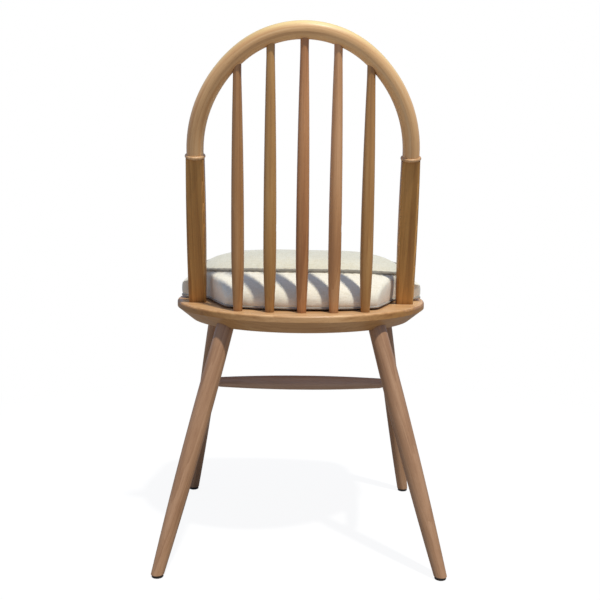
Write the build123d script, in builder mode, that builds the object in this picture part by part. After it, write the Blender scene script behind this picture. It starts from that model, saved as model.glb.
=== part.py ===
"""Hoop-back dining chair: bent arch on flat posts, turned spindles and legs, loose piped cushion.

Millimetres, +Z up, front towards -Y, sitter's left towards +X, floor at Z = 0.
"""
import math
import os

from build123d import *

# Seat plank
seat_height = 422
seat_thickness = 32
seat_rear_radius = 225
seat_centre_y = -38
seat_front_y = -231
seat_front_radius = 900
seat_corner_radius = 62
seat_side_taper = 17
seat_edge_band = 11
seat_edge_round = 4
seat_bevel_inset = 26

# Hoop: posts, collars and bent arch, all in one plane that leans back.
# The lead is how far its foot stands ahead of the middle spindle.
hoop_lead = 124.5
hoop_lean = 19
hoop_height = 482.5
arch_radius = 14
arch_crown_angle = 50
arch_straight = 5.5
arch_socket_depth = 22
collar_thickness = 6
collar_radius = 17
collar_bead = 2.9
post_rim_inset = 42
post_tilt = 1.35
post_length = 263.5
post_base_width = 29
post_middle_width = 32.5
post_top_width = 30
post_thickness = 22
post_edge_round = 5
post_top_tenon_radius = 7
post_seat_tenon_radius = 9
post_seat_tenon_depth = 24

# Spindles
spindle_count = 5
spindle_spacing = 52.4
spindle_rim_inset = 38.5
spindle_bow = 13.5
spindle_foot_radius = 7.3
spindle_swell_radius = 10.5
spindle_swell_height = 105
spindle_tip_radius = 6.7
spindle_tip_run = 32
spindle_tip_depth = 3
spindle_seat_depth = 22

# Legs: how far in from the seat's rim they enter its underside, and their splay down to the floor
rear_leg_side_inset = 97
rear_leg_back_inset = 74.5
rear_splay_out = 101.5
rear_splay_back = 108
front_leg_side_inset = 46
front_leg_front_inset = 74.5
front_splay_out = 56
front_splay_ahead = 40
leg_foot_radius = 10.1
leg_middle_radius = 15.3
leg_top_radius = 14.7
leg_tenon_radius = 10
leg_tenon_depth = 25

# Stretchers: two side members and the cross member between them
stretcher_height = 269
side_swell_radius = 13
cross_swell_radius = 13
stretcher_end_radius = 9
stretcher_taper = 7
stretcher_neck = 3
stretcher_tenon_radius = 7
stretcher_tenon_past_axis = 3

# Glides and their nails
glide_thickness = 5
glide_radius = 9.5
glide_edge_round = 1.2
nail_radius = 1.2
nail_length = 14
nail_head_radius = 2.8
nail_head_thickness = 1.4
nail_head_recess = 1

# Cushion: a domed pad that overhangs its narrow top panel, notched to fit round the posts
cushion_spindle_gap = 11
cushion_rear_radius = 320
cushion_turn_radius = 110
cushion_rim_inset = 4
cushion_corner_inset = 5
cushion_corner_radius = 60
cushion_front_inset = 4
cushion_front_radius = 900
cushion_base_round = 14
cushion_boxing_rise = 45
cushion_draw = 63
cushion_draw_power = 2.3
cushion_side_share = 0.6
cushion_crown = 26
cushion_crown_power = 4
cushion_flank_gap = 26.5
cushion_flank_flare = 19
cushion_shoulder_radius = 45
cushion_notch_lead = 43.5
cushion_notch_radius = 22
cushion_ear_radius = 26
cushion_lower_seam = 5
cover_thickness = 1.5
top_piping_radius = 3
bottom_piping_radius = 1.6
bottom_piping_shoulder = 12
bottom_piping_ear = 14

# Fits
glue_line = 0.1
end_gap = 0.4
rest_gap = 0.3
piping_gap = 0.4
foam_gap = 0.4
drill_lead = 12
cut_lead = 3

seat_top = Plane.XY.offset(seat_height)
seat_underside = seat_height - seat_thickness
sides = (("left", 1), ("right", -1))
from_base = (Align.CENTER, Align.CENTER, Align.MIN)

# Places on the seat, worked out from its rim
seat_corner_half = seat_rear_radius - seat_side_taper
spindle_line_y = seat_centre_y + seat_rear_radius - spindle_rim_inset
hoop_base_y = spindle_line_y - hoop_lead
post_base_half = seat_rear_radius - post_rim_inset
rear_leg_top_half = seat_rear_radius - rear_leg_side_inset
rear_leg_top_y = seat_centre_y + seat_rear_radius - rear_leg_back_inset
front_leg_top_half = seat_corner_half - front_leg_side_inset
front_leg_top_y = seat_front_y + front_leg_front_inset
cushion_rear_y = spindle_line_y - cushion_spindle_gap
cushion_half = seat_rear_radius - cushion_rim_inset
cushion_corner_half = seat_corner_half - cushion_corner_inset
cushion_front_y = seat_front_y + cushion_front_inset
cushion_flank_half = post_base_half - cushion_flank_gap
cushion_ear_y = hoop_base_y - cushion_notch_lead


def on_circle(centre, radius, degrees):
    """Point of a circle in a sketch plane."""
    angle = math.radians(degrees)
    return (centre[0] + radius * math.cos(angle), centre[1] + radius * math.sin(angle))


def shared_tangent(first, first_radius, second, second_radius):
    """Direction, in degrees, of the normal of the outer line that touches two circles on their right."""
    run = Vector(second) - Vector(first)
    return math.degrees(math.atan2(run.Y, run.X) + math.acos((first_radius - second_radius) / run.length))


def turning_plane(start, end):
    """Sketch plane of a turned piece: Y runs along its axis and X is the radius."""
    end_grain = Plane(origin=start, z_dir=end - start)
    return Plane(origin=start, x_dir=end_grain.x_dir, z_dir=-end_grain.y_dir)


def drill(point, direction, radius, depth):
    """Cut a round socket that enters at a point and runs along a direction."""
    with Locations(Plane(origin=point - direction * drill_lead, z_dir=direction)):
        Cylinder(radius, depth + drill_lead, align=from_base, mode=Mode.SUBTRACT)


def peg(point, direction, radius, length):
    """Add a round tenon that starts at a point and runs along a direction."""
    with Locations(Plane(origin=point, z_dir=direction)):
        Cylinder(radius, length, align=from_base)


# Hoop layout, in the leaning plane: X across the chair, Y up along the posts
lean = math.radians(hoop_lean)
tilt = math.radians(post_tilt)
hoop_plane = Plane(
    origin=(0, hoop_base_y, seat_height),
    x_dir=(1, 0, 0),
    z_dir=(0, -math.cos(lean), math.sin(lean)),
)
arch_start = post_length + collar_thickness
arch_top = hoop_height - arch_radius


def post_line(distance, side=1):
    """Point on a post's axis, at a distance up from the seat."""
    across = post_base_half - distance * math.sin(tilt)
    return (side * across, distance * math.cos(tilt))


def in_hoop(point):
    """Place a point of the hoop's plane in space."""
    return hoop_plane.from_local_coords(Vector(point))


# The side bends go on from the posts' lines and turn into the crown bend at the crown angle,
# so the arch's half width and rise are both sums of shares of the two radii
bend_start = post_line(arch_start + arch_straight)
crown_turn = math.radians(arch_crown_angle)
half_width, rise = bend_start[0], arch_top - bend_start[1]
side_width = math.cos(tilt) - math.cos(crown_turn)
side_rise = math.sin(crown_turn) - math.sin(tilt)
crown_width = math.cos(crown_turn)
crown_rise = 1 - math.sin(crown_turn)
shares = crown_width * side_rise - side_width * crown_rise
arch_side_radius = (rise * crown_width - half_width * crown_rise) / shares
arch_top_radius = (half_width * side_rise - rise * side_width) / shares
bend_centre = on_circle(bend_start, -arch_side_radius, post_tilt)
crown_centre = (0, arch_top - arch_top_radius)


def arch_height(across):
    """Height of the arch's axis in the hoop's plane, at a place across the chair."""
    reach = abs(across)
    if reach < arch_top_radius * crown_width:
        return crown_centre[1] + math.sqrt(arch_top_radius**2 - reach**2)
    return bend_centre[1] + math.sqrt(arch_side_radius**2 - (reach - bend_centre[0]) ** 2)


# Axes of the spindles: base on the seat's top, tip on the arch's axis
spindles = []
spindle_middle = (spindle_count - 1) / 2
for index in range(spindle_count):
    place = index - spindle_middle
    x = place * spindle_spacing
    base = Vector(x, spindle_line_y - spindle_bow * (place / spindle_middle) ** 2, seat_height)
    spindles.append((base, in_hoop((x, arch_height(x)))))

# Axes of the legs: foot on the floor, top at the seat's underside
legs = {}
for name, side in sides:
    rear_top = Vector(side * rear_leg_top_half, rear_leg_top_y, seat_underside)
    rear_foot = rear_top + Vector(side * rear_splay_out, rear_splay_back, -seat_underside)
    legs["rear_" + name] = (rear_foot, rear_top)
    front_top = Vector(side * front_leg_top_half, front_leg_top_y, seat_underside)
    front_foot = front_top + Vector(side * front_splay_out, -front_splay_ahead, -seat_underside)
    legs["front_" + name] = (front_foot, front_top)


def leg_point(name, height):
    """Point on a leg's axis, at a height above the floor."""
    foot, top = legs[name]
    return foot + (top - foot) * (height / seat_underside)


# Axes of the stretchers
stretchers = {}
for name, side in sides:
    stretchers[name] = tuple(leg_point(end + name, stretcher_height) for end in ("front_", "rear_"))
stretchers["cross"] = tuple((stretchers[name][0] + stretchers[name][1]) * 0.5 for name, side in sides)


# Seat
seat_centre = (0, seat_centre_y)
seat_front_centre = (0, seat_front_y + seat_front_radius)
seat_corner_x = seat_corner_half - seat_corner_radius
seat_corner_reach = seat_front_radius - seat_corner_radius
seat_corner = (seat_corner_x, seat_front_centre[1] - math.sqrt(seat_corner_reach**2 - seat_corner_x**2))
seat_side_normal = shared_tangent(seat_centre, seat_rear_radius, seat_corner, seat_corner_radius)
seat_front_angle = math.degrees(math.atan2(seat_corner[1] - seat_front_centre[1], seat_corner_x))
bevel_height = seat_thickness - seat_edge_band
bevel_taper = math.degrees(math.atan2(seat_bevel_inset, bevel_height))

with BuildPart() as seat_blank:
    with BuildSketch(seat_top):
        with BuildLine():
            CenterArc(seat_centre, seat_rear_radius, seat_side_normal, 90 - seat_side_normal)
            Line(
                on_circle(seat_centre, seat_rear_radius, seat_side_normal),
                on_circle(seat_corner, seat_corner_radius, seat_side_normal),
            )
            corner_turn = seat_side_normal - seat_front_angle
            CenterArc(seat_corner, seat_corner_radius, seat_front_angle, corner_turn)
            CenterArc(seat_front_centre, seat_front_radius, -90, seat_front_angle + 90)
            mirror(about=Plane.YZ)
        make_face()
    extrude(amount=-seat_edge_band)
    extrude(seat_blank.faces().sort_by(Axis.Z)[0], amount=bevel_height, taper=bevel_taper)
    fillet(seat_blank.faces().sort_by(Axis.Z)[-1].edges(), seat_edge_round)

with BuildPart() as seat:
    add(seat_blank.part)
    for base, tip in spindles:
        down = (base - tip).normalized()
        drill(base, down, spindle_foot_radius + glue_line, spindle_seat_depth + end_gap)
    for name, side in sides:
        foot = in_hoop(post_line(0, side))
        down = (foot - in_hoop(post_line(post_length, side))).normalized()
        drill(foot, down, post_seat_tenon_radius + glue_line, post_seat_tenon_depth + end_gap)
    for foot, top in legs.values():
        drill(top, (top - foot).normalized(), leg_tenon_radius + glue_line, leg_tenon_depth + end_gap)

pieces = {"seat": seat.part}


# Posts, each with a tenon into the seat and one through the collar into the arch
for name, side in sides:
    foot = in_hoop(post_line(0, side))
    head = in_hoop(post_line(post_length, side))
    up = (head - foot).normalized()
    below_seat = post_thickness
    with BuildPart() as post:
        with BuildSketch(Plane(origin=foot, x_dir=up.cross(hoop_plane.z_dir), z_dir=hoop_plane.z_dir)):
            with BuildLine():
                outer = ThreePointArc(
                    (post_base_width / 2, -below_seat),
                    (post_middle_width / 2, post_length / 2),
                    (post_top_width / 2, post_length),
                )
                Line(outer @ 0, (0, -below_seat))
                Line(outer @ 1, (0, post_length))
                mirror(about=Plane.YZ)
            make_face()
        extrude(amount=post_thickness / 2, both=True)
        fillet(post.edges().filter_by(GeomType.CIRCLE), post_edge_round)
        split(bisect_by=seat_top, keep=Keep.TOP)
        peg(head - up, up, post_top_tenon_radius, 1 + collar_thickness + arch_socket_depth)
        peg(foot + up * post_thickness, -up, post_seat_tenon_radius, post_thickness + post_seat_tenon_depth)
    pieces["post_" + name] = post.part

    bore = post_top_tenon_radius + glue_line
    with BuildPart() as collar:
        with BuildSketch(turning_plane(head, head + up)):
            with BuildLine():
                bead_foot = (collar_radius - collar_bead, 0)
                bead_head = (collar_radius - collar_bead, collar_thickness)
                ThreePointArc(bead_foot, (collar_radius, collar_thickness / 2), bead_head)
                Polyline(bead_head, (bore, collar_thickness), (bore, 0), bead_foot)
            make_face()
        revolve(axis=Axis(head, up))
    pieces["collar_" + name] = collar.part


# Bent arch
with BuildPart() as arch:
    with BuildLine(hoop_plane) as bend:
        side_sweep = arch_crown_angle - post_tilt
        mirrored_centre = (-bend_centre[0], bend_centre[1])
        Line(post_line(arch_start), bend_start)
        CenterArc(bend_centre, arch_side_radius, post_tilt, side_sweep)
        CenterArc(crown_centre, arch_top_radius, arch_crown_angle, 180 - 2 * arch_crown_angle)
        CenterArc(mirrored_centre, arch_side_radius, 180 - arch_crown_angle, side_sweep)
        Line(post_line(arch_start + arch_straight, -1), post_line(arch_start, -1))
    with BuildSketch(Plane(origin=bend.line @ 0, z_dir=bend.line % 0)):
        Circle(arch_radius)
    sweep(path=bend.line)
    for name, side in sides:
        start = in_hoop(post_line(arch_start, side))
        up = (start - in_hoop(post_line(0, side))).normalized()
        drill(start, up, post_top_tenon_radius + glue_line, arch_socket_depth + end_gap)
    for base, tip in spindles:
        up = (tip - base).normalized()
        entry = tip - up * spindle_tip_run
        drill(entry, up, spindle_tip_radius + glue_line, spindle_tip_run + spindle_tip_depth + end_gap)
pieces["hoop_arch"] = arch.part


# Spindles: straight ends in their sockets, swelled in the lower part
for number, (base, tip) in enumerate(spindles, start=1):
    length = (tip - base).length
    end = length + spindle_tip_depth
    with BuildPart() as spindle:
        with BuildSketch(turning_plane(base, tip)):
            with BuildLine():
                swell = (spindle_swell_radius, spindle_swell_height)
                lower = TangentArc(swell, (spindle_foot_radius, 0), tangent=(0, -1))
                upper = TangentArc(swell, (spindle_tip_radius, length - spindle_tip_run), tangent=(0, 1))
                Polyline(
                    lower @ 1,
                    (spindle_foot_radius, -spindle_seat_depth),
                    (0, -spindle_seat_depth),
                    (0, end),
                    (spindle_tip_radius, end),
                    upper @ 1,
                )
            make_face()
        revolve(axis=Axis(base, tip - base))
    pieces[f"spindle_{number}"] = spindle.part


# Legs: scribed to the seat's underside, tenoned into it, cut level at the glides
for name, (foot, top) in legs.items():
    length = (top - foot).length
    up = (top - foot).normalized()
    body_top = length + seat_thickness / 2
    glide_seat = leg_point(name, glide_thickness)
    where, side_name = name.split("_")
    front_end, rear_end = stretchers[side_name]
    inward = (rear_end - front_end).normalized()
    if where == "rear":
        inward = -inward
    with BuildPart() as leg:
        with BuildSketch(turning_plane(foot, top)):
            with BuildLine():
                taper = ThreePointArc(
                    (leg_foot_radius, 0),
                    (leg_middle_radius, length / 2),
                    (leg_top_radius, length),
                )
                Polyline(taper @ 1, (leg_top_radius, body_top), (0, body_top), (0, 0), taper @ 0)
            make_face()
        revolve(axis=Axis(foot, up))
        add(seat_blank.part, mode=Mode.SUBTRACT)
        peg(top - up * leg_tenon_radius, up, leg_tenon_radius, leg_tenon_radius + leg_tenon_depth)
        split(bisect_by=Plane.XY.offset(glide_thickness), keep=Keep.TOP)
        drill(glide_seat, Vector(0, 0, 1), nail_radius + glue_line, nail_length + end_gap)
        drill(
            leg_point(name, stretcher_height) + inward * leg_middle_radius,
            -inward,
            stretcher_tenon_radius + glue_line,
            leg_middle_radius + stretcher_tenon_past_axis + end_gap,
        )
    pieces["leg_" + name] = leg.part


# Stretchers: tenon, short taper, swell, and the same again at the far end
def turned_stretcher(start, end, host_radius, swell_radius):
    """Stretcher between two axes, tenoned into round hosts of one radius."""
    length = (end - start).length
    tenon_end = -stretcher_tenon_past_axis
    neck = host_radius + stretcher_neck
    taper_end = neck + stretcher_taper
    with BuildPart() as stretcher:
        with BuildSketch(turning_plane(start, end)):
            with BuildLine():
                ThreePointArc(
                    (stretcher_end_radius, taper_end),
                    (swell_radius, length / 2),
                    (stretcher_end_radius, length - taper_end),
                )
                Polyline(
                    (stretcher_end_radius, taper_end),
                    (stretcher_tenon_radius, neck),
                    (stretcher_tenon_radius, tenon_end),
                    (0, tenon_end),
                    (0, length - tenon_end),
                    (stretcher_tenon_radius, length - tenon_end),
                    (stretcher_tenon_radius, length - neck),
                    (stretcher_end_radius, length - taper_end),
                )
            make_face()
        revolve(axis=Axis(start, end - start))
    return stretcher.part


cross_start, cross_end = stretchers["cross"]
cross_run = (cross_end - cross_start).normalized()
for name, side in sides:
    with BuildPart() as side_stretcher:
        add(turned_stretcher(*stretchers[name], leg_middle_radius, side_swell_radius))
        drill(
            stretchers["cross"][0 if name == "left" else 1] + cross_run * side_swell_radius * side,
            cross_run * -side,
            stretcher_tenon_radius + glue_line,
            side_swell_radius + stretcher_tenon_past_axis + end_gap,
        )
    pieces["stretcher_" + name] = side_stretcher.part
pieces["stretcher_cross"] = turned_stretcher(cross_start, cross_end, side_swell_radius, cross_swell_radius)


# Glides under the feet, each nailed on
for name in legs:
    seat_point = leg_point(name, glide_thickness)
    with BuildPart() as glide:
        with BuildSketch(Plane.XY):
            with Locations((seat_point.X, seat_point.Y)):
                Circle(glide_radius)
        extrude(amount=glide_thickness)
        fillet(glide.edges().group_by(Axis.Z)[0], glide_edge_round)
        with Locations(Plane(origin=(seat_point.X, seat_point.Y, 0), z_dir=(0, 0, -1))):
            CounterBoreHole(
                radius=nail_radius + glue_line,
                counter_bore_radius=nail_head_radius + glue_line,
                counter_bore_depth=nail_head_recess + nail_head_thickness,
            )
    pieces["glide_" + name] = glide.part

with BuildPart() as glide_nails:
    for name in legs:
        seat_point = leg_point(name, glide_thickness)
        nail_foot = Vector(seat_point.X, seat_point.Y, nail_head_recess)
        peg(nail_foot, Vector(0, 0, 1), nail_head_radius, nail_head_thickness)
        peg(nail_foot, Vector(0, 0, 1), nail_radius, glide_thickness - nail_head_recess + nail_length)
pieces["glide_nails"] = glide_nails.part


# Cushion outlines. A draw moves an outline's rear forwards and its sides and front in by a share of that.
def front_rim(turn, turn_radius, draw, grow):
    """Draw half an outline's side and front from its rear turn, and give the side's normal."""
    side_draw = cushion_side_share * draw
    centre = (0, cushion_front_y + side_draw + cushion_front_radius)
    corner_x = cushion_corner_half - side_draw - cushion_corner_radius
    corner_reach = cushion_front_radius - cushion_corner_radius
    corner = (corner_x, centre[1] - math.sqrt(corner_reach**2 - corner_x**2))
    corner_radius = cushion_corner_radius + grow
    side_normal = shared_tangent(turn, turn_radius, corner, corner_radius)
    front_angle = math.degrees(math.atan2(corner[1] - centre[1], corner_x))
    Line(on_circle(turn, turn_radius, side_normal), on_circle(corner, corner_radius, side_normal))
    CenterArc(corner, corner_radius, front_angle, side_normal - front_angle)
    CenterArc(centre, cushion_front_radius + grow, -90, front_angle + 90)
    return side_normal


def plain_outline(draw, grow):
    """Draw an outline without notches, moved outwards by some distance."""
    centre_y = cushion_rear_y - draw - cushion_rear_radius
    turn_x = cushion_half - cushion_side_share * draw - cushion_turn_radius
    turn_rise = math.sqrt((cushion_rear_radius - cushion_turn_radius) ** 2 - turn_x**2)
    turn_angle = math.degrees(math.atan2(turn_rise, turn_x))
    turn = (turn_x, centre_y + turn_rise)
    turn_radius = cushion_turn_radius + grow
    CenterArc((0, centre_y), cushion_rear_radius + grow, turn_angle, 90 - turn_angle)
    side_normal = front_rim(turn, turn_radius, draw, grow)
    CenterArc(turn, turn_radius, side_normal, turn_angle - side_normal)
    mirror(about=Plane.YZ)


def post_side(draw, rim, wall, shoulder_radius, ear_radius):
    """Draw the shoulder, flank, notch and ear line beside a post, and give the shoulder and ear.

    The rim and the notch's wall are moved outwards by distances of their own.
    """
    facing = Vector(on_circle((0, 0), 1, cushion_flank_flare))
    flank_reach = facing.dot(Vector(cushion_flank_half, hoop_base_y)) + wall
    rear_centre = Vector(0, cushion_rear_y - draw - cushion_rear_radius)
    shoulder_reach = cushion_rear_radius + rim - shoulder_radius
    shoulder_depth = flank_reach - shoulder_radius - facing.dot(rear_centre)
    shoulder_angle = cushion_flank_flare + math.degrees(math.acos(shoulder_depth / shoulder_reach))
    shoulder = on_circle((0, rear_centre.Y), shoulder_reach, shoulder_angle)
    notch_radius = cushion_notch_radius - wall
    notch_y = cushion_ear_y + cushion_notch_radius
    notch = ((flank_reach + notch_radius - facing.Y * notch_y) / facing.X, notch_y)
    ear_y = cushion_ear_y + wall
    ear_x = cushion_half - cushion_side_share * draw + rim - ear_radius
    CenterArc(shoulder, shoulder_radius, cushion_flank_flare, shoulder_angle - cushion_flank_flare)
    Line(
        on_circle(shoulder, shoulder_radius, cushion_flank_flare),
        on_circle(notch, notch_radius, cushion_flank_flare + 180),
    )
    CenterArc(notch, notch_radius, cushion_flank_flare + 180, 90 - cushion_flank_flare)
    Line((notch[0], ear_y), (ear_x, ear_y))
    return (shoulder, shoulder_angle), (ear_x, ear_y - ear_radius)


def notched_outline(draw, grow):
    """Draw the lower cord's outline with its tongue, notches and ears, moved outwards by some distance."""
    ear_radius = bottom_piping_ear
    (shoulder, shoulder_angle), ear = post_side(draw, grow, grow, bottom_piping_shoulder, ear_radius)
    centre = (0, cushion_rear_y - draw - cushion_rear_radius)
    CenterArc(centre, cushion_rear_radius + grow, shoulder_angle, 90 - shoulder_angle)
    side_normal = front_rim(ear, ear_radius, draw, grow)
    CenterArc(ear, ear_radius, side_normal, 90 - side_normal)
    mirror(about=Plane.YZ)


# Cushion profile: rounded foot, boxing that draws in faster as it rises, then the broad crown
cushion_bottom = seat_height + rest_gap
upper_seam = cushion_bottom + cushion_base_round + cushion_boxing_rise
crown_y = (cushion_rear_y + cushion_front_y) / 2 - cushion_draw * (1 - cushion_side_share) / 2
foot_angles = (90, 55, 25, 0)
boxing_shares = (0.3, 0.52, 0.68, 0.8, 0.9, 1)
crown_shares = (1, 0.75, 0.5, 0.25)


def profile(inset):
    """Levels from foot to upper seam as (height, draw, outward move), set in along the profile's normal."""
    levels = []
    for degrees in foot_angles:
        out, down = on_circle((0, 0), 1, degrees)
        height = cushion_bottom + cushion_base_round * (1 - down) + inset * down
        levels.append((height, cushion_base_round * (1 - out), -inset * out))
    for share in boxing_shares:
        slope = cushion_draw / cushion_boxing_rise * cushion_draw_power * share ** (cushion_draw_power - 1)
        out = 1 / math.hypot(1, slope)
        height = cushion_bottom + cushion_base_round + cushion_boxing_rise * share - inset * out * slope
        levels.append((height, cushion_draw * share**cushion_draw_power, -inset * out))
    return levels


def pad(inset):
    """Domed cushion form with its post notches, set in from the outside by some distance."""
    levels = profile(inset)
    seam_height, seam_draw, seam_move = levels[-1]
    up = hoop_plane.y_dir
    with BuildPart() as form:
        for height, draw, grow in levels:
            with BuildSketch(Plane.XY.offset(height)):
                with BuildLine():
                    plain_outline(draw, grow)
                make_face()
        loft()
        for share in crown_shares:
            rise = cushion_crown * (1 - share**cushion_crown_power)
            with BuildSketch(Plane((0, crown_y * (1 - share), seam_height + rise))):
                with BuildLine():
                    plain_outline(seam_draw, seam_move)
                make_face()
                scale(by=share)
        loft()
        with BuildSketch(seat_top):
            with BuildLine():
                radii = (cushion_shoulder_radius, cushion_ear_radius)
                (shoulder, shoulder_angle), ear = post_side(0, cut_lead, -inset, *radii)
                start = on_circle(shoulder, cushion_shoulder_radius, shoulder_angle)
                ear_arc = CenterArc(ear, cushion_ear_radius, 0, 90)
                outside = seat_rear_radius + cushion_ear_radius
                Polyline(ear_arc @ 0, (outside, ear[1]), (outside, outside), (start[0], outside), start)
            make_face()
            mirror(about=Plane.YZ)
        extrude(amount=2 * (upper_seam - seat_height), dir=up, mode=Mode.SUBTRACT)
    return form.part


pieces["cushion_foam"] = pad(cover_thickness + foam_gap)

with BuildPart() as cover:
    add(pad(0))
    add(pad(cover_thickness), mode=Mode.SUBTRACT)

lower_seam = Plane.XY.offset(cushion_bottom + cushion_lower_seam)
with BuildPart() as top_block:
    with BuildSketch(Plane.XY.offset(upper_seam - 2 * cover_thickness)):
        with BuildLine():
            plain_outline(cushion_draw, 0)
        make_face()
    extrude(amount=2 * cushion_crown)

with BuildPart() as cushion_top:
    add(cover.part)
    add(top_block.part, mode=Mode.INTERSECT)
pieces["cushion_top"] = cushion_top.part

with BuildPart() as cushion_boxing:
    add(cover.part)
    add(top_block.part, mode=Mode.SUBTRACT)
    split(bisect_by=lower_seam, keep=Keep.TOP)
pieces["cushion_boxing"] = cushion_boxing.part

with BuildPart() as cushion_base:
    add(cover.part)
    split(bisect_by=lower_seam, keep=Keep.BOTTOM)
pieces["cushion_bottom"] = cushion_base.part


# Piping: the upper cord lies on the seam of the top panel, the lower one under the widest line
def cord(name, height, radius, outline):
    """Sweep a round cord along an outline."""
    with BuildPart() as piping:
        with BuildLine(Plane.XY.offset(height)) as seam:
            outline()
        with BuildSketch(Plane(origin=seam.wire() @ 0, z_dir=seam.wire() % 0)):
            Circle(radius)
        sweep(path=seam.wire())
    pieces["piping_" + name] = piping.part


top_height, top_draw, top_move = profile(-top_piping_radius - piping_gap)[-1]
cord("top", top_height, top_piping_radius, lambda: plain_outline(top_draw, top_move))
cord_drop = cushion_base_round - cushion_lower_seam + bottom_piping_radius
cord_out = math.sqrt(cushion_base_round**2 - cord_drop**2)
cord_draw = cushion_base_round - cord_out
cord_move = (bottom_piping_radius + piping_gap) * cushion_base_round / cord_out
cord_height = cushion_bottom + cushion_base_round - cord_drop
cord("bottom", cord_height, bottom_piping_radius, lambda: notched_outline(cord_draw, cord_move))


os.makedirs("parts", exist_ok=True)
for name, piece in pieces.items():
    piece.label = name
    export_step(piece, f"parts/{name}.step")
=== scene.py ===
"""Hoop-back dining chair: finish, simulated seat cushion, piping, light and camera.

Metres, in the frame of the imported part: +Z up, front towards -Y, sitter's left towards +X.
"""
import math

import bmesh
import bpy
import numpy as np
from mathutils import Matrix, Vector, noise
from mathutils.bvhtree import BVHTree


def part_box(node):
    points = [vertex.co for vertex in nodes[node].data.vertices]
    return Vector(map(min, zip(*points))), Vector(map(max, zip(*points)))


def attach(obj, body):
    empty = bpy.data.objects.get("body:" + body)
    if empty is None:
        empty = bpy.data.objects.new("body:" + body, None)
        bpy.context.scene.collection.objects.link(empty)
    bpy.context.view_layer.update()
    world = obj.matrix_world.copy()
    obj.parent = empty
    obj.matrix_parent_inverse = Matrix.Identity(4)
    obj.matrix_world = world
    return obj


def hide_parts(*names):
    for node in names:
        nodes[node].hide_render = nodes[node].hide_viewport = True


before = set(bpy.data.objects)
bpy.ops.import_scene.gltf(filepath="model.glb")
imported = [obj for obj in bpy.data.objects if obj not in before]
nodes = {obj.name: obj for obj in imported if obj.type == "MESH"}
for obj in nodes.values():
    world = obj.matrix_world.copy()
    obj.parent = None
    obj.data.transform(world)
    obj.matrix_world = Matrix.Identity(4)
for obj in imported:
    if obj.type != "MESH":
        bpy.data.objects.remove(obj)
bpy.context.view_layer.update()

scene = bpy.context.scene
WHITE = (1, 1, 1, 1)

# Camera, fitted to the photograph: pixels, metres and radians
PHOTO_SIZE = 600
FOCAL_PIXELS = 873.34
SENSOR_WIDTH = 36
CAMERA_PLACE = Vector((0.012436, 1.5595, 0.62656))
CAMERA_PITCH = 0.12952
CAMERA_YAW = 0.00686
CAMERA_ROLL = 0.01081

# Light: angles in degrees
KEY_AZIMUTH = 30
KEY_ELEVATION = 65
KEY_ANGLE = 3.0
KEY_STRENGTH = 3.1
KEY_COLOUR = (1.0, 0.97, 0.90)
EVEN_STRENGTH = 2.4
EVEN_COLOUR = (1.0, 0.97, 0.80)
AMBIENT_STRENGTH = 0.44
AMBIENT_COLOUR = (0.71, 0.88, 1.30, 1)

# Floor: to the camera its glow grows from FLOOR_NEAR_LIFT at FLOOR_NEAR to full at FLOOR_FAR
FLOOR_RADIUS = 9
FLOOR_SEGMENTS = 96
FLOOR_BOUNCE = (0.33, 0.29, 0.24, 1)
FLOOR_NEAR_LIFT = 0.92
FLOOR_NEAR = 0.35
FLOOR_FAR = 1.25

# Seat and hoop, as laid out in the part: the hoop's leaning plane, and the top and side bends of its arch
SEAT_TOP = 0.422
HOOP_BASE = (0, 0.024, SEAT_TOP)
HOOP_LEAN = math.radians(19)
HOOP_AXIS = (0, math.sin(HOOP_LEAN), math.cos(HOOP_LEAN))
TOP_TURN = math.radians(50)
TOP_CENTRE_HEIGHT = 0.3111
TOP_RADIUS = 0.1574
SIDE_CENTRE_ACROSS = -0.0345
SIDE_CENTRE_HEIGHT = 0.2700
SIDE_RADIUS = 0.2111


def srgb(red, green, blue):
    """Linear colour of an 8-bit sRGB colour."""
    channels = []
    for value in (red, green, blue):
        share = value / 255
        channels.append(share / 12.92 if share <= 0.04045 else ((share + 0.055) / 1.055) ** 2.4)
    return (*channels, 1)


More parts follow.
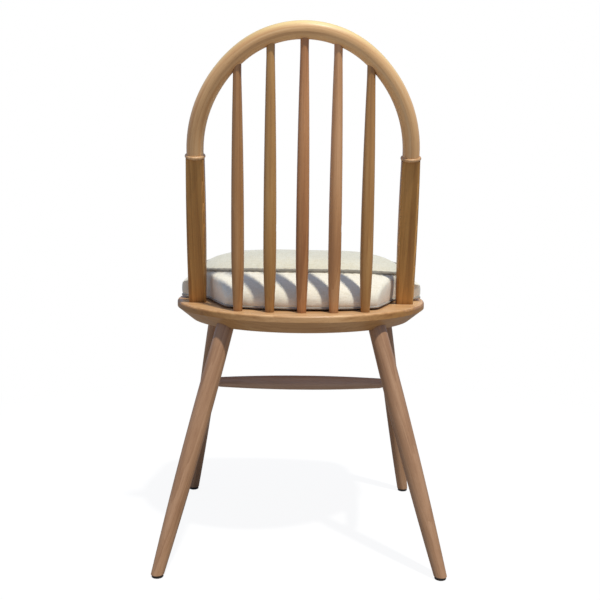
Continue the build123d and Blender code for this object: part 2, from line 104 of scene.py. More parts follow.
class Shader:
    """A material's node tree, with short calls to add and join nodes."""

    def __init__(self, name):
        self.material = bpy.data.materials.new(name)
        self.material.use_nodes = True
        self.tree = self.material.node_tree
        self.surface = self.tree.nodes["Principled BSDF"]
        self.output = self.tree.nodes["Material Output"]

    def add(self, kind, inputs=None, **settings):
        """Add a node, set its properties, and set or link its inputs."""
        node = self.tree.nodes.new(kind)
        for key, value in settings.items():
            setattr(node, key, value)
        for key, value in (inputs or {}).items():
            self.feed(node.inputs[key], value)
        return node

    def feed(self, socket, value):
        """Link a socket, or set it where the value is plain."""
        if isinstance(value, bpy.types.NodeSocket):
            self.tree.links.new(value, socket)
        else:
            socket.default_value = value

    def where(self):
        """Place on the object."""
        return self.add("ShaderNodeTexCoord").outputs["Object"]

    def facing(self):
        """The three parts of the surface's direction."""
        return self.parts(self.add("ShaderNodeNewGeometry").outputs["Normal"])

    def maths(self, operation, first, second=0.0):
        """Result of a math node."""
        return self.add("ShaderNodeMath", {0: first, 1: second}, operation=operation).outputs[0]

    def weighed(self, *pairs):
        """Sum of values, each times its weight."""
        layers = [self.maths("MULTIPLY", value, weight) for value, weight in pairs]
        total = layers[0]
        for layer in layers[1:]:
            total = self.maths("ADD", total, layer)
        return total

    def hypotenuse(self, x, y):
        """Length of a flat vector."""
        squares = [self.maths("POWER", part, 2) for part in (x, y)]
        return self.maths("SQRT", self.maths("ADD", *squares))

    def parts(self, vector):
        """The three parts of a vector."""
        return self.add("ShaderNodeSeparateXYZ", {0: vector}).outputs

    def join(self, x, y, z):
        """A vector from its parts."""
        return self.add("ShaderNodeCombineXYZ", {0: x, 1: y, 2: z}).outputs[0]

    def place(self, vector, rotation=(0, 0, 0), location=(0, 0, 0), scale=(1, 1, 1)):
        """A vector scaled, turned and moved."""
        inputs = {"Vector": vector, "Rotation": rotation, "Location": location, "Scale": scale}
        return self.add("ShaderNodeMapping", inputs).outputs["Vector"]

    def noise(self, vector, scale, detail=2.0, roughness=0.5):
        """Noise value."""
        inputs = {"Vector": vector, "Scale": scale, "Detail": detail, "Roughness": roughness}
        return self.add("ShaderNodeTexNoise", inputs).outputs["Fac"]

    def spread(self, value, low, high, start=0.0, end=1.0):
        """A value from one range spread over another."""
        inputs = {"Value": value, "From Min": start, "From Max": end, "To Min": low, "To Max": high}
        return self.add("ShaderNodeMapRange", inputs).outputs["Result"]

    def ramp(self, value, stops, colours):
        """Colour that goes through the given colours as a value passes the stops."""
        node = self.add("ShaderNodeValToRGB", {"Fac": value})
        elements = node.color_ramp.elements
        while len(elements) < len(stops):
            elements.new(0.5)
        for element, stop, colour in zip(elements, stops, colours):
            element.position = stop
            element.color = colour
        return node.outputs["Color"]

    def mix(self, share, first, second, blend="MIX"):
        """Mix of two colours."""
        node = self.add("ShaderNodeMix", data_type="RGBA", blend_type=blend)
        self.feed(node.inputs["Factor"], share)
        self.feed(node.inputs[6], first)
        self.feed(node.inputs[7], second)
        return node.outputs[2]

    def tint(self, colour, value, stops, tints, share=1.0):
        """A colour under a tint that changes as a value passes the stops."""
        return self.mix(share, colour, self.ramp(value, stops, tints), "MULTIPLY")

    def finish(self, inputs):
        """Set or link inputs of the surface."""
        for key, value in inputs.items():
            self.feed(self.surface.inputs[key], value)

    def relief(self, height, strength, distance):
        """Bump the surface by a height."""
        inputs = {"Height": height, "Strength": strength, "Distance": distance}
        self.feed(self.surface.inputs["Normal"], self.add("ShaderNodeBump", inputs).outputs["Normal"])


def place_camera():
    """Camera at the photograph's view."""
    right = Vector((-math.cos(CAMERA_YAW), math.sin(CAMERA_YAW), 0))
    level = Vector((-math.sin(CAMERA_YAW), -math.cos(CAMERA_YAW), 0))
    up = Vector((0, 0, 1))
    forward = math.cos(CAMERA_PITCH) * level - math.sin(CAMERA_PITCH) * up
    above = math.sin(CAMERA_PITCH) * level + math.cos(CAMERA_PITCH) * up
    rolled_right = math.cos(CAMERA_ROLL) * right + math.sin(CAMERA_ROLL) * above
    rolled_up = -math.sin(CAMERA_ROLL) * right + math.cos(CAMERA_ROLL) * above
    lens = bpy.data.cameras.new("camera")
    lens.sensor_fit = "HORIZONTAL"
    lens.sensor_width = SENSOR_WIDTH
    lens.lens = FOCAL_PIXELS / PHOTO_SIZE * SENSOR_WIDTH
    camera = bpy.data.objects.new("camera", lens)
    scene.collection.objects.link(camera)
    axes = Matrix((rolled_right, rolled_up, -forward)).transposed().to_4x4()
    camera.matrix_world = Matrix.Translation(CAMERA_PLACE) @ axes
    scene.camera = camera


def sun(name, strength, colour):
    """A sun high behind the camera, to its right."""
    azimuth, elevation = math.radians(KEY_AZIMUTH), math.radians(KEY_ELEVATION)
    towards = Vector((
        -math.sin(azimuth) * math.cos(elevation),
        math.cos(azimuth) * math.cos(elevation),
        math.sin(elevation),
    ))
    light = bpy.data.lights.new(name, "SUN")
    light.energy = strength
    light.color = colour
    light.angle = math.radians(KEY_ANGLE)
    lamp = bpy.data.objects.new(name, light)
    lamp.rotation_euler = towards.to_track_quat("Z", "Y").to_euler()
    scene.collection.objects.link(lamp)
    return lamp


def link_light(lamp, pieces, state):
    """Let a lamp light only the given pieces, or all but them."""
    receivers = bpy.data.collections.new(lamp.name + "_receivers")
    lamp.light_linking.receiver_collection = receivers
    for piece in pieces:
        receivers.objects.link(piece)
    for entry in receivers.collection_objects:
        entry.light_linking.link_state = state


def place_lights(evenly_lit):
    """A key light, and a shadowless one for the pieces that are lit evenly."""
    key = sun("key", KEY_STRENGTH, KEY_COLOUR)
    even = sun("even", EVEN_STRENGTH, EVEN_COLOUR)
    even.data.use_shadow = False
    link_light(key, evenly_lit, "EXCLUDE")
    link_light(even, evenly_lit, "INCLUDE")


def place_surround():
    """Surround that is white to the camera and sends a cool ambient light."""
    world = bpy.data.worlds.new("surround")
    world.use_nodes = True
    scene.world = world
    tree = world.node_tree
    tree.nodes.clear()
    rays = tree.nodes.new("ShaderNodeLightPath")
    seen = tree.nodes.new("ShaderNodeMath")
    seen.operation = "MAXIMUM"
    tree.links.new(rays.outputs["Is Camera Ray"], seen.inputs[0])
    tree.links.new(rays.outputs["Is Transmission Ray"], seen.inputs[1])
    ambient = tree.nodes.new("ShaderNodeBackground")
    ambient.inputs["Color"].default_value = AMBIENT_COLOUR
    ambient.inputs["Strength"].default_value = AMBIENT_STRENGTH
    white = tree.nodes.new("ShaderNodeBackground")
    white.inputs["Color"].default_value = WHITE
    mix = tree.nodes.new("ShaderNodeMixShader")
    tree.links.new(seen.outputs[0], mix.inputs[0])
    tree.links.new(ambient.outputs[0], mix.inputs[1])
    tree.links.new(white.outputs[0], mix.inputs[2])
    output = tree.nodes.new("ShaderNodeOutputWorld")
    tree.links.new(mix.outputs[0], output.inputs["Surface"])


def lay_floor():
    """Wide pale floor that keeps the chair's shadow and fades into the white surround."""
    mesh = bpy.data.meshes.new("floor")
    shape = bmesh.new()
    bmesh.ops.create_circle(shape, cap_ends=True, segments=FLOOR_SEGMENTS, radius=FLOOR_RADIUS)
    shape.to_mesh(mesh)
    shape.free()
    floor = new_piece("floor", mesh)
    shader = Shader("floor_white")
    rays = shader.add("ShaderNodeLightPath")
    seen = shader.maths("MAXIMUM", rays.outputs["Is Camera Ray"], rays.outputs["Is Transmission Ray"])
    away = shader.add("ShaderNodeVectorMath", {0: shader.where()}, operation="LENGTH").outputs["Value"]
    lift = shader.maths("MULTIPLY", seen, shader.spread(away, FLOOR_NEAR_LIFT, 1, FLOOR_NEAR, FLOOR_FAR))
    matte = shader.add("ShaderNodeBsdfDiffuse", {"Color": shader.mix(seen, FLOOR_BOUNCE, WHITE)})
    glow = shader.add("ShaderNodeEmission", {"Color": WHITE})
    mix = shader.add("ShaderNodeMixShader", {0: lift, 1: matte.outputs[0], 2: glow.outputs[0]})
    shader.feed(shader.output.inputs["Surface"], mix.outputs[0])
    mesh.materials.append(shader.material)


# Wood: tones from dark late wood to light early wood, by the first word of a node's name
TONES = {
    # The hoop's tones are partly lighter wood and partly painted light, lifted for its brightly lit arch
    "hoop": ((198, 144, 90), (230, 183, 126), (245, 208, 154)),
    "collar": ((164, 118, 72), (206, 162, 112), (226, 188, 138)),
    "post": ((152, 101, 44), (192, 141, 74), (212, 162, 96)),
    "spindle": ((146, 98, 54), (186, 136, 80), (206, 160, 104)),
    "seat": ((172, 122, 70), (212, 168, 118), (228, 190, 140)),
    "leg": ((133, 93, 60), (169, 129, 94), (190, 151, 116)),
    # Painted light: the stretcher's tones are paler and greyer than the legs', standing in for the cool
    # light it gets in the seat's shade
    "stretcher": ((154, 122, 98), (188, 158, 134), (206, 178, 154)),
}
TONE_STOPS = (0.33, 0.53, 0.72)

# Tints: a painted highlight on the arch's top, painted shade on the seat's edges, end grain with painted
# shade on its ends, and the spindles from painted shade at the foot to painted light at the head
# Painted highlight: the arch's upward faces are made lighter and yellower, where the key light and sheen
# fall on its top
HOOP_TOP_PAINTED_HIGHLIGHT = (1.12, 1.44, 1.42, 1)
# Painted shade: the seat's upright and downward faces are darkened because they get less light than its
# top
SEAT_EDGE_PAINTED_SHADE = (0.85, 0.82, 0.75, 1)
# Darker end grain across X, deepened with painted shade on the seat's sideways faces
SEAT_END_GRAIN_AND_SHADE = (0.66, 0.53, 0.28, 1)
# Painted shade at the spindles' foot, and cooler painted light towards their head, between heights
# SPINDLE_FOOT and SPINDLE_HEAD
SPINDLE_FOOT_PAINTED_SHADE = (0.82, 0.78, 0.74, 1)
SPINDLE_HEAD_PAINTED_LIGHT = (1.14, 1.20, 1.36, 1)
SPINDLE_FOOT = 0.48
SPINDLE_HEAD = 0.80
SPINDLE_TINTS = {
    "spindle_1": (0.97, 0.97, 0.85, 1),
    "spindle_2": (1.18, 1.20, 1.45, 1),
    "spindle_3": (1.06, 0.96, 1.02, 1),
    "spindle_4": (0.93, 0.95, 0.82, 1),
    "spindle_5": (0.93, 0.92, 0.95, 1),
}
UPPER_STOPS = (0.25, 0.85)
END_STOPS = (0.20, 0.70)

# Grain: how far each layer is drawn out along the piece, then its noise's scale, detail and roughness
GRAIN_NOISE = {
    "fibres": (0.018, 620, 5, 0.62),
    "streaks": (0.03, 130, 3, 0.55),
    "stain": (0.3, 16, 2, 0.5),
    "pores": (0.06, 1700, 2, 0.5),
}
RING_DRAW = 0.05
RING_WAVE = {"Scale": 34, "Distortion": 6, "Detail": 3, "Detail Scale": 1.6}
RING_KIND = {"wave_type": "RINGS", "rings_direction": "Z", "wave_profile": "SAW"}
FIGURE_WEIGHTS = {"rings": 0.09, "fibres": 0.24, "streaks": 0.36, "stain": 0.34}

# Where a piece's grain lies in the tree: off its heart, in steps that repeat, and along its trunk
HEART_OFF = (0.037, 0.052)
HEART_STEP = (0.011, -0.009)
HEART_CYCLE = (5, 7)
TRUNK_STEP = 0.173

# Wood finish: pores, painted shade in crevices and where parts meet, satin coat and relief
PORE_COLOUR = (0.60, 0.50, 0.42, 1)
PORE_STOPS = (0.30, 0.40)
PORE_SHARE = 0.45
PORE_HEIGHT = 0.9
CREVICE_SHADE_COLOUR = (0.50, 0.40, 0.33, 1)
CREVICE_SHADE_STOPS = (0.25, 0.75)
CREVICE_SHADE_SHARE = 0.8
CREVICE_SHADE_REACH = 0.014
CREVICE_SHADE_SAMPLES = 6
STREAK_RANGE = (0.3, 0.7)
WOOD_ROUGHNESS = (0.34, 0.54)
WOOD_FINISH = {"Specular IOR Level": 0.42, "Coat Weight": 0.12, "Coat Roughness": 0.28}
WOOD_RELIEF = (0.20, 0.0003)

# Glides and their nails
GLIDE_TONE = (34, 31, 29)
GLIDE_ROUGHNESS = (0.45, 0.65)
GLIDE_RELIEF = (0.25, 0.0002)
SCUFF_NOISE = (260, 4, 0.6)
SCUFF_STOPS = (0.45, 0.75)
SCUFF_GAIN = 2.2
SCUFF_LIFT = 0.01
MOULD_NOISE = (2600, 2)
STEEL_COLOURS = ((0.42, 0.42, 0.43, 1), (0.62, 0.62, 0.63, 1))
STEEL_ROUGHNESS = (0.28, 0.48)
SCRATCH_DRAW = (1, 0.05, 1)
SCRATCH_NOISE = (3000, 3)
SCRATCH_STOPS = (0.3, 0.7)


def tinted(colour, tint):
    """A colour under a tint."""
    return tuple(channel * share for channel, share in zip(colour, tint))


def along(axis):
    """Grain coordinates of a straight piece: Z runs along the axis."""
    turn = Vector(axis).rotation_difference(Vector((0, 0, 1))).to_euler()
    return lambda shader, where: shader.place(where, rotation=turn)


def round_the_arch(shader, where):
    """Grain coordinates of the bent arch: Z runs along its bends, from the middle of its top."""
    moved = shader.place(where, location=tuple(-value for value in HOOP_BASE))
    flat = shader.place(moved, rotation=(HOOP_LEAN - math.pi / 2, 0, 0))
    across, height, off_plane = shader.parts(flat)
    reach = shader.maths("ABSOLUTE", across)

    def bend(centre_across, centre_height, radius):
        """Distance from a bend's centre line, and angle round its centre."""
        x = shader.maths("SUBTRACT", reach, centre_across)
        y = shader.maths("SUBTRACT", height, centre_height)
        depth = shader.maths("SUBTRACT", shader.hypotenuse(x, y), radius)
        return depth, shader.maths("ARCTAN2", y, x)

    def run(start, angle, radius):
        """Distance round a bend from an angle."""
        return shader.maths("MULTIPLY", shader.maths("SUBTRACT", start, angle), radius)

    top_depth, top_angle = bend(0, TOP_CENTRE_HEIGHT, TOP_RADIUS)
    side_depth, side_angle = bend(SIDE_CENTRE_ACROSS, SIDE_CENTRE_HEIGHT, SIDE_RADIUS)
    top_run = run(math.pi / 2, top_angle, TOP_RADIUS)
    top_length = (math.pi / 2 - TOP_TURN) * TOP_RADIUS
    side_run = shader.maths("ADD", run(TOP_TURN, side_angle, SIDE_RADIUS), top_length)
    in_top = shader.maths("GREATER_THAN", top_angle, TOP_TURN)

    def choose(side, top):
        """The top's value in the top bend, and the side's elsewhere."""
        difference = shader.maths("SUBTRACT", top, side)
        return shader.maths("ADD", side, shader.maths("MULTIPLY", in_top, difference))

    distance = shader.maths("MULTIPLY", choose(side_run, top_run), shader.maths("SIGN", across))
    return shader.join(choose(side_depth, top_depth), off_plane, distance)


def cut_from_tree(seed):
    """Shift of a piece's grain, so that each is cut from a place of its own."""
    steps = zip(HEART_OFF, HEART_STEP, HEART_CYCLE)
    return (*(off + step * (seed % cycle) for off, step, cycle in steps), TRUNK_STEP * seed)


def grain_layers(shader, run):
    """Growth rings, fibres, streaks, stain and pores over grain coordinates, by name."""
    def drawn_out(share):
        return shader.place(run, scale=(1, 1, share))

    rings = shader.add("ShaderNodeTexWave", {"Vector": drawn_out(RING_DRAW), **RING_WAVE}, **RING_KIND)
    layers = {"rings": rings.outputs["Fac"]}
    for name, (draw, *settings) in GRAIN_NOISE.items():
        layers[name] = shader.noise(drawn_out(draw), *settings)
    return layers


def wood(name, tones, grain, seed, upper=WHITE, upright=WHITE, ends=WHITE, foot=WHITE, head=WHITE):
    """Satin finished wood: growth rings, fibres, pores, soft uneven stain, and painted shade in crevices
    and where parts meet.

    Faces that look up (a painted highlight), faces that look sideways (painted shade), the end grain
    across X (darker grain with painted shade) and the foot and head of a spindle (painted shade and
    painted light) have a tint each.
    """
    shader = Shader("wood_" + name)
    where = shader.where()
    layers = grain_layers(shader, shader.place(grain(shader, where), location=cut_from_tree(seed)))
    figure = shader.weighed(*((layers[layer], weight) for layer, weight in FIGURE_WEIGHTS.items()))
    facing = shader.facing()
    sideways = shader.maths("ABSOLUTE", facing[0])
    rise = shader.spread(shader.parts(where)[2], 0, 1, SPINDLE_FOOT, SPINDLE_HEAD)
    # Painted shade: ambient occlusion darkens the wood in crevices and where parts meet
    crevice_shade = shader.add("ShaderNodeAmbientOcclusion", {"Distance": CREVICE_SHADE_REACH}, samples=CREVICE_SHADE_SAMPLES)
    colour = shader.ramp(figure, TONE_STOPS, [srgb(*tone) for tone in tones])
    colour = shader.tint(colour, layers["pores"], PORE_STOPS, (PORE_COLOUR, WHITE), PORE_SHARE)
    # Painted highlight on faces that look up, and painted shade on upright and downward faces
    colour = shader.tint(colour, facing[2], UPPER_STOPS, (upright, upper))
    # Darker end grain with painted shade on faces that look across X
    colour = shader.tint(colour, sideways, END_STOPS, (WHITE, ends))
    # Painted shade at a spindle's foot, giving way to cooler painted light at its head
    colour = shader.tint(colour, rise, (0, 1), (foot, head))
    colour = shader.tint(colour, crevice_shade.outputs["AO"], CREVICE_SHADE_STOPS, (CREVICE_SHADE_COLOUR, WHITE), CREVICE_SHADE_SHARE)
    roughness = shader.spread(layers["streaks"], *WOOD_ROUGHNESS, *STREAK_RANGE)
    shader.finish({"Base Color": colour, "Roughness": roughness, **WOOD_FINISH})
    shader.relief(shader.weighed((layers["fibres"], 1.0), (layers["pores"], PORE_HEIGHT)), *WOOD_RELIEF)
    return shader.material


def moulded_plastic():
    """Matt black moulded plastic, scuffed and with a fine grain."""
    shader = Shader("glide_black")
    where = shader.where()
    scuffs = shader.noise(where, *SCUFF_NOISE)
    colour = srgb(*GLIDE_TONE)
    worn = (*(channel * SCUFF_GAIN + SCUFF_LIFT for channel in colour[:3]), 1)
    shader.finish({
        "Base Color": shader.ramp(scuffs, SCUFF_STOPS, (colour, worn)),
        "Roughness": shader.spread(scuffs, *GLIDE_ROUGHNESS),
    })
    shader.relief(shader.noise(where, *MOULD_NOISE), *GLIDE_RELIEF)
    return shader.material


def drawn_steel():
    """Plain drawn steel with fine scratches."""
    shader = Shader("nail_steel")
    scratches = shader.noise(shader.place(shader.where(), scale=SCRATCH_DRAW), *SCRATCH_NOISE)
    shader.finish({
        "Base Color": shader.ramp(scratches, SCRATCH_STOPS, STEEL_COLOURS),
        "Metallic": 1.0,
        "Roughness": shader.spread(scratches, *STEEL_ROUGHNESS),
    })
    return shader.material


def grain_of(name, kind):
    """Grain coordinates of a wooden node."""
    low, high = (Vector(corner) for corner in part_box(name))
    span = high - low
    if kind == "hoop":
        return round_the_arch
    if kind == "leg":
        outward = 1 if low.x + high.x > 0 else -1
        backward = 1 if "rear" in name else -1
        return along((outward * span.x, backward * span.y, -span.z))
    if kind == "spindle":
        return along((0, span.y - span.x, span.z))
    if kind in ("post", "collar"):
        return along(HOOP_AXIS)
    return along((1, 0, 0) if name in ("seat", "stretcher_cross") else (0, 1, 0))


def tints_of(name, kind):
    """Tints of a wooden node, named as wood() takes them."""
    if kind == "hoop":
        # The arch's top takes a painted highlight
        return {"upper": HOOP_TOP_PAINTED_HIGHLIGHT}
    if kind == "seat":
        # Painted shade on the seat's upright faces, and darker end grain with painted shade on its ends
        return {"upright": SEAT_EDGE_PAINTED_SHADE, "ends": SEAT_END_GRAIN_AND_SHADE}
    if kind == "spindle":
        # A spindle's foot takes painted shade and its head painted light, under the spindle's own tone
        own = SPINDLE_TINTS[name]
        return {"foot": tinted(SPINDLE_FOOT_PAINTED_SHADE, own), "head": tinted(SPINDLE_HEAD_PAINTED_LIGHT, own)}
    return {}


def cover_with(mesh, material):
    """Give a mesh one material."""
    mesh.materials.clear()
    mesh.materials.append(material)


def dress_frame():
    """Finish every rigid node, each wooden piece with its own run of grain."""
    plastic = moulded_plastic()
    steel = drawn_steel()
    for seed, name in enumerate(sorted(nodes)):
        kind = name.split("_")[0]
        if kind in TONES:
            finish = wood(name, TONES[kind], grain_of(name, kind), seed, **tints_of(name, kind))
            cover_with(nodes[name].data, finish)
        elif kind == "glide":
            cover_with(nodes[name].data, steel if name == "glide_nails" else plastic)


# Cushion pad: simulation, and the points that it holds at the foot and the seam
PAD_VOXEL = 0.0042
PAD_FRAMES = 20
PAD_SWELL_LIMIT = 0.0028
PAD_FOOT_HELD = 0.004
SEAM_REACH = 0.0075
CLOTH = {
    "quality": 4,
    "mass": 0.3,
    "tension_stiffness": 20,
    "compression_stiffness": 20,
    "shear_stiffness": 8,
    "bending_stiffness": 1.2,
    "use_pressure": True,
    "uniform_pressure_force": 4.0,
}
SEAT_CLEARANCE = 0.0003
CUSHION_MIDDLE = (0, -0.06)

# Cover: thickness, lumps of the filling, and puckers beside the cord with their drift round the cushion
COVER_THICKNESS = 0.0016
LUMP_SIZE = 0.07
LUMP_HEIGHT = 0.0009
PUCKER_COUNT = 74
PUCKER_HEIGHT = 0.0007
PUCKER_REACH = 0.022
PUCKER_DRIFT = 2.2
PUCKER_DRIFT_COUNT = 7

# Crown: fuller towards its seam and lower in the middle
CROWN_CENTRE = (0, -0.0574)
CROWN_PUFF = 0.0040
CROWN_SAG = 0.0026
CROWN_POWER = 4

# Rear corners, drawn down beside the posts: between two places in Y and two in Z
CORNER_DIP = {"left": 0.005, "right": 0.0075}
CORNER_REACH = 0.155
CORNER_POWER = 2.6
CORNER_ALONG = (-0.08, 0.0)
CORNER_UP = (0.445, 0.478)
ASKEW = 0.02

# Top panel and cords
PANEL_LIFT = 0.0009
PANEL_THICKNESS = 0.0006
PANEL_LEAST_RISE = 0.2
CORD_STATIONS = 640
CORD_SIDES = 14
CORD_STAND = 0.62
CORD_SWELLS = ((0.035, 0.9), (0.03, 0.37))

# Fabric: noise as scale and detail, relief as strength and depth
THREAD_PITCH = 0.0013
FACING_POWER = 4
SLUB_DRAWS = ((0.12, 1, 1), (1, 0.12, 1))
SLUB_NOISE = (420, 3)
SLUB_WEIGHT = 0.5
PAD_TONES = ((232, 225, 203), (242, 236, 216), (247, 242, 225))
PAD_TONE_STOPS = (0.34, 0.50, 0.66)
PAD_WEAR_COLOUR = (0.95, 0.945, 0.93, 1)
PAD_WEAR_STOPS = (0.30, 0.62)
PAD_WEAR_NOISE = (18, 3)
# Painted shade in the furrows between threads, for the pad and for the cord
PAD_FURROW_SHADE = 0.86
PAD_WEAVE_HEIGHT = 0.5
PAD_FINISH = {"Roughness": 0.92, "Specular IOR Level": 0.2, "Sheen Weight": 0.18, "Sheen Roughness": 0.5}
PAD_RELIEF = (0.35, 0.0005)
CORD_TONES = ((158, 152, 140), (182, 176, 164))
CORD_TONE_STOPS = (0.3, 0.7)
CORD_WEAR_NOISE = (90, 3)
CORD_FURROW_SHADE = 0.78
CORD_FINISH = {"Roughness": 0.9, "Specular IOR Level": 0.2, "Sheen Weight": 0.15, "Sheen Roughness": 0.5}
CORD_RELIEF = (0.4, 0.0004)


def new_piece(name, mesh):
    """An object of a mesh, in the scene."""
    piece = bpy.data.objects.new(name, mesh)
    scene.collection.objects.link(piece)
    return piece


def apply_modifiers(piece):
    """Replace a piece's mesh by its modified one and drop its modifiers."""
    graph = bpy.context.evaluated_depsgraph_get()
    mesh = bpy.data.meshes.new_from_object(piece.evaluated_get(graph))
    piece.modifiers.clear()
    piece.data = mesh


def points_of(mesh):
    """Vertex places of a mesh as an array."""
    places = np.empty(len(mesh.vertices) * 3)
    mesh.vertices.foreach_get("co", places)
    return places.reshape(-1, 3)


def normals_of(mesh):
    """Vertex normals of a mesh as an array."""
    facing = np.empty(len(mesh.vertices) * 3)
    mesh.vertex_normals.foreach_get("vector", facing)
    return facing.reshape(-1, 3)


def move_points(mesh, places):
    """Write vertex places."""
    mesh.vertices.foreach_set("co", np.ascontiguousarray(places).ravel())
    mesh.update()


def tree_of(mesh):
    """Search tree of a mesh."""
    shape = bmesh.new()
    shape.from_mesh(mesh)
    tree = BVHTree.FromBMesh(shape)
    shape.free()
    return tree


def run_along(line):
    """Distance along a closed line at each station, and at its start again."""
    steps = np.diff(np.vstack((line, line[:1])), axis=0)
    return np.concatenate(([0], np.cumsum(np.linalg.norm(steps, axis=1))))


def evened(line):
    """A closed line with its stations at equal distances."""
    closed = np.vstack((line, line[:1]))
    run = run_along(line)
    stations = np.linspace(0, run[-1], len(line), endpoint=False)
    return np.stack([np.interp(stations, run, closed[:, axis]) for axis in range(3)], axis=1)


def cord_line(name):
    """Centre line of a packed cord, sampled round the cushion, and the cord's radius."""
    tree = tree_of(nodes[name].data)
    low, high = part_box(name)
    start = Vector((*CUSHION_MIDDLE, (low[2] + high[2]) / 2))
    line = []
    for step in range(CORD_STATIONS):
        angle = 2 * math.pi * step / CORD_STATIONS
        ray = Vector((math.cos(angle), math.sin(angle), 0))
        inner = tree.ray_cast(start, ray)[0]
        outer = tree.ray_cast(start + ray, -ray)[0]
        line.append(tuple((inner + outer) / 2))
    return evened(np.array(line)), (high[2] - low[2]) / 2


def encloses(line, x, y):
    """Whether a closed line, seen from above, goes round a place."""
    start = line[:, :2]
    end = np.roll(start, -1, axis=0)
    crosses = (start[:, 1] > y) != (end[:, 1] > y)
    start, end = start[crosses], end[crosses]
    at = start[:, 0] + (y - start[:, 1]) / (end[:, 1] - start[:, 1]) * (end[:, 0] - start[:, 0])
    return bool(np.count_nonzero(at > x) % 2)


def distances(places, line):
    """Distance of each place to the nearest station of a line, and that station."""
    nearest = np.full(len(places), np.inf)
    station = np.zeros(len(places), dtype=int)
    for index, point in enumerate(line):
        gap = np.linalg.norm(places - point, axis=1)
        closer = gap < nearest
        nearest[closer] = gap[closer]
        station[closer] = index
    return nearest, station


def swell(piece, held):
    """Blow the pad up against its held points, with a limit to how far a point moves."""
    rest = points_of(piece.data)
    group = piece.vertex_groups.new(name="held")
    for index in np.nonzero(held)[0]:
        group.add([int(index)], 1.0, "REPLACE")
    cloth = piece.modifiers.new("swell", "CLOTH")
    for key, value in CLOTH.items():
        setattr(cloth.settings, key, value)
    cloth.settings.vertex_group_mass = group.name
    cloth.settings.effector_weights.gravity = 0
    cloth.collision_settings.use_collision = False
    cloth.point_cache.frame_end = PAD_FRAMES
    for step in range(1, PAD_FRAMES + 1):
        scene.frame_set(step)
    graph = bpy.context.evaluated_depsgraph_get()
    blown = points_of(piece.evaluated_get(graph).data)
    piece.modifiers.clear()
    piece.vertex_groups.clear()
    scene.frame_set(1)
    move = blown - rest
    length = np.linalg.norm(move, axis=1)
    share = np.minimum(1, PAD_SWELL_LIMIT / np.maximum(length, 1e-9))
    move_points(piece.data, rest + move * share[:, None])


def covered(places, facing, gaps, stations):
    """Places moved out by the cover's thickness, soft lumps and small puckers beside the cord."""
    lumps = np.array([noise.noise(Vector(place) / LUMP_SIZE) for place in places]) * LUMP_HEIGHT
    turn = 2 * math.pi * stations / CORD_STATIONS
    drift = PUCKER_DRIFT * np.sin(PUCKER_DRIFT_COUNT * turn)
    pucker = np.sin(PUCKER_COUNT * turn + drift) * np.exp(-gaps / PUCKER_REACH)
    return places + facing * (COVER_THICKNESS + lumps + PUCKER_HEIGHT * pucker)[:, None]


def crowned(places, seam):
    """Places with the crown lower in the middle and filled out towards its seam."""
    def polar(points):
        x, y = points[:, 0] - CROWN_CENTRE[0], points[:, 1] - CROWN_CENTRE[1]
        return np.arctan2(y, x), np.hypot(x, y)

    angles, radii = polar(seam)
    order = np.argsort(angles)
    where, reach = polar(places)
    share = reach / np.interp(where, angles[order], radii[order], period=2 * math.pi)
    upper = (share < 1) & (places[:, 2] > seam[:, 2].min() - SEAM_REACH)
    rim = share**CROWN_POWER
    lift = np.where(upper, 4 * CROWN_PUFF * rim * (1 - rim) - CROWN_SAG * (1 - rim), 0)
    return places + np.outer(lift, (0, 0, 1))


def eased(values, limits):
    """Smooth steps from 0 to 1 between two limits."""
    share = np.clip((values - limits[0]) / (limits[1] - limits[0]), 0, 1)
    return share * share * (3 - 2 * share)


def laid(places):
    """Places with the cushion lying a little askew and its rear corners drawn down beside the posts."""
    x, y, z = places.T
    depth = np.where(x > 0, CORNER_DIP["left"], CORNER_DIP["right"])
    outward = (np.abs(x) / CORNER_REACH) ** CORNER_POWER
    dip = depth * outward * eased(y, CORNER_ALONG) * eased(z, CORNER_UP)
    return np.stack((x, y - ASKEW * x, z - dip), axis=1)


def make_pad(seam):
    """Simulated cushion pad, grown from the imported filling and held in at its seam."""
    piece = new_piece("cushion_pad", nodes["cushion_foam"].data.copy())
    remesh = piece.modifiers.new("even", "REMESH")
    remesh.mode = "VOXEL"
    remesh.voxel_size = PAD_VOXEL
    apply_modifiers(piece)
    places = points_of(piece.data)
    gaps, stations = distances(places, seam)
    foot = places[:, 2].min()
    swell(piece, (places[:, 2] < foot + PAD_FOOT_HELD) | (gaps < SEAM_REACH))
    places = covered(points_of(piece.data), normals_of(piece.data), gaps, stations)
    places = laid(crowned(places, seam))
    places[:, 2] = np.maximum(places[:, 2], SEAT_TOP + SEAT_CLEARANCE)
    move_points(piece.data, places)
    finer = piece.modifiers.new("finer", "SUBSURF")
    finer.levels = finer.render_levels = 1
    apply_modifiers(piece)
    piece.data.shade_smooth()
    return piece


def make_panel(pad, seam):
    """Top panel of the cover: the pad's own crown inside the seam, lifted a little off it."""
    lowest = seam[:, 2].min() - SEAM_REACH

    def outside(face):
        middle = face.calc_center_median()
        if face.normal.z < PANEL_LEAST_RISE or middle.z < lowest:
            return True
        return not encloses(seam, middle.x, middle.y)

    shape = bmesh.new()
    shape.from_mesh(pad.data)
    bmesh.ops.delete(shape, geom=[face for face in shape.faces if outside(face)], context="FACES")
    for point in shape.verts:
        point.co += point.normal * PANEL_LIFT
    mesh = bpy.data.meshes.new("cushion_panel")
    shape.to_mesh(mesh)
    shape.free()
    panel = new_piece("cushion_panel", mesh)
    cloth = panel.modifiers.new("cloth", "SOLIDIFY")
    cloth.thickness = PANEL_THICKNESS
    cloth.offset = -1
    apply_modifiers(panel)
    panel.data.shade_smooth()
    return panel


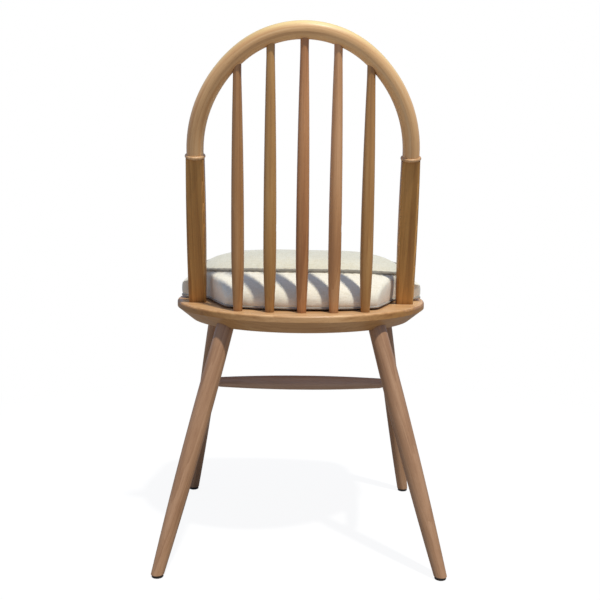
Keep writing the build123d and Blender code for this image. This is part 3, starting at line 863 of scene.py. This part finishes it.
def cord_rings(shape, line, radius, cover):
    """Rings of points round a cord that is laid on a cover, with uneven tension."""
    tree = tree_of(cover)
    rings = []
    for index, place in enumerate(line):
        after = line[(index + 1) % len(line)]
        tangent = (Vector(after) - Vector(line[index - 1])).normalized()
        hit, facing = tree.find_nearest(Vector(place))[:2]
        middle = hit + facing * radius * CORD_STAND
        side = tangent.cross(facing).normalized()
        up = side.cross(tangent)
        swelling = radius * (1 + sum(share * math.sin(index * pace) for share, pace in CORD_SWELLS))
        ring = []
        for step in range(CORD_SIDES):
            angle = 2 * math.pi * step / CORD_SIDES
            outward = side * math.cos(angle) + up * math.sin(angle)
            ring.append(shape.verts.new(middle + outward * swelling))
        rings.append(ring)
    return rings


def skin_rings(shape, rings, length, girth):
    """Faces between the rings of a closed cord, with a map of its surface in metres."""
    layer = shape.loops.layers.uv.new("wrap")
    count = len(rings)
    for index, ring in enumerate(rings):
        after = rings[(index + 1) % count]
        for step in range(CORD_SIDES):
            turned = (step + 1) % CORD_SIDES
            face = shape.faces.new((ring[step], ring[turned], after[turned], after[step]))
            face.smooth = True
            corners = ((index, step), (index, step + 1), (index + 1, step + 1), (index + 1, step))
            for loop, (station, place) in zip(face.loops, corners):
                loop[layer].uv = (length * station / count, girth * place / CORD_SIDES)


def make_cord(name, line, radius, cover):
    """Piping: a covered cord laid on the pad."""
    shape = bmesh.new()
    rings = cord_rings(shape, line, radius, cover)
    skin_rings(shape, rings, float(run_along(line)[-1]), 2 * math.pi * radius)
    bmesh.ops.recalc_face_normals(shape, faces=shape.faces)
    mesh = bpy.data.meshes.new(name)
    shape.to_mesh(mesh)
    shape.free()
    return new_piece(name, mesh)


def woven(shader, first, second):
    """Height of a plain weave over two coordinates."""
    turns = 2 * math.pi / THREAD_PITCH
    warp = shader.maths("SINE", shader.maths("MULTIPLY", first, turns))
    weft = shader.maths("SINE", shader.maths("MULTIPLY", second, turns))
    return shader.maths("MULTIPLY", warp, weft)


def furrow_shaded(shader, colour, height, least):
    """A colour darkened between the threads, as painted shade in the weave's furrows."""
    furrow_shade = shader.spread(height, least, 1.0, -1, 1)
    return shader.mix(1.0, colour, shader.join(furrow_shade, furrow_shade, furrow_shade), "MULTIPLY")


def weave_on_all_sides(shader, where):
    """Height of a weave laid on from above, from behind and from the side."""
    place = shader.parts(where)
    turned = [shader.maths("ABSOLUTE", part) for part in shader.facing()]
    weights = [shader.maths("POWER", part, FACING_POWER) for part in turned]
    total = shader.maths("ADD", shader.maths("ADD", weights[0], weights[1]), weights[2])
    sides = []
    for axis in range(3):
        first, second = (place[other] for other in range(3) if other != axis)
        sides.append((woven(shader, first, second), shader.maths("DIVIDE", weights[axis], total)))
    return shader.weighed(*sides)


def pad_fabric():
    """Off-white plain weave with slubs and slight wear."""
    shader = Shader("cushion_weave")
    where = shader.where()
    height = weave_on_all_sides(shader, where)
    slubs = [shader.noise(shader.place(where, scale=draw), *SLUB_NOISE) for draw in SLUB_DRAWS]
    threads = shader.weighed(*((slub, SLUB_WEIGHT) for slub in slubs))
    wear = shader.noise(where, *PAD_WEAR_NOISE)
    colour = shader.ramp(threads, PAD_TONE_STOPS, [srgb(*tone) for tone in PAD_TONES])
    colour = shader.tint(colour, wear, PAD_WEAR_STOPS, (PAD_WEAR_COLOUR, WHITE))
    shader.finish({"Base Color": furrow_shaded(shader, colour, height, PAD_FURROW_SHADE), **PAD_FINISH})
    shader.relief(shader.weighed((height, PAD_WEAVE_HEIGHT), (threads, 1.0)), *PAD_RELIEF)
    return shader.material


def cord_fabric():
    """Grey bias-cut weave on the piping."""
    shader = Shader("piping_weave")
    run, wrap = shader.parts(shader.add("ShaderNodeUVMap", uv_map="wrap").outputs["UV"])[:2]
    height = woven(shader, shader.maths("ADD", run, wrap), shader.maths("SUBTRACT", run, wrap))
    wear = shader.noise(shader.where(), *CORD_WEAR_NOISE)
    colour = shader.ramp(wear, CORD_TONE_STOPS, [srgb(*tone) for tone in CORD_TONES])
    shader.finish({"Base Color": furrow_shaded(shader, colour, height, CORD_FURROW_SHADE), **CORD_FINISH})
    shader.relief(height, *CORD_RELIEF)
    return shader.material


def make_cushion():
    """Pad, top panel and cords of the loose cushion. Returns the pieces that are lit evenly."""
    upper, upper_radius = cord_line("piping_top")
    lower, lower_radius = cord_line("piping_bottom")
    pad = make_pad(upper)
    panel = make_panel(pad, laid(upper))
    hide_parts("cushion_boxing", "cushion_bottom", "cushion_foam")
    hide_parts("cushion_top")
    weave = pad_fabric()
    for piece in (pad, panel):
        cover_with(piece.data, weave)
        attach(piece, "cushion")
    piping = cord_fabric()
    cords = []
    for name, line, radius, node in (
        ("cord_top", upper, upper_radius, "piping_top"),
        ("cord_bottom", lower, lower_radius, "piping_bottom"),
    ):
        cord = make_cord(name, laid(line), radius, pad.data)
        cover_with(cord.data, piping)
        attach(cord, "cushion")
        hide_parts(node)
        cords.append(cord)
    return panel, cords[0]


scene.view_settings.view_transform = "Standard"
place_camera()
lay_floor()
dress_frame()
place_lights(make_cushion())
place_surround()
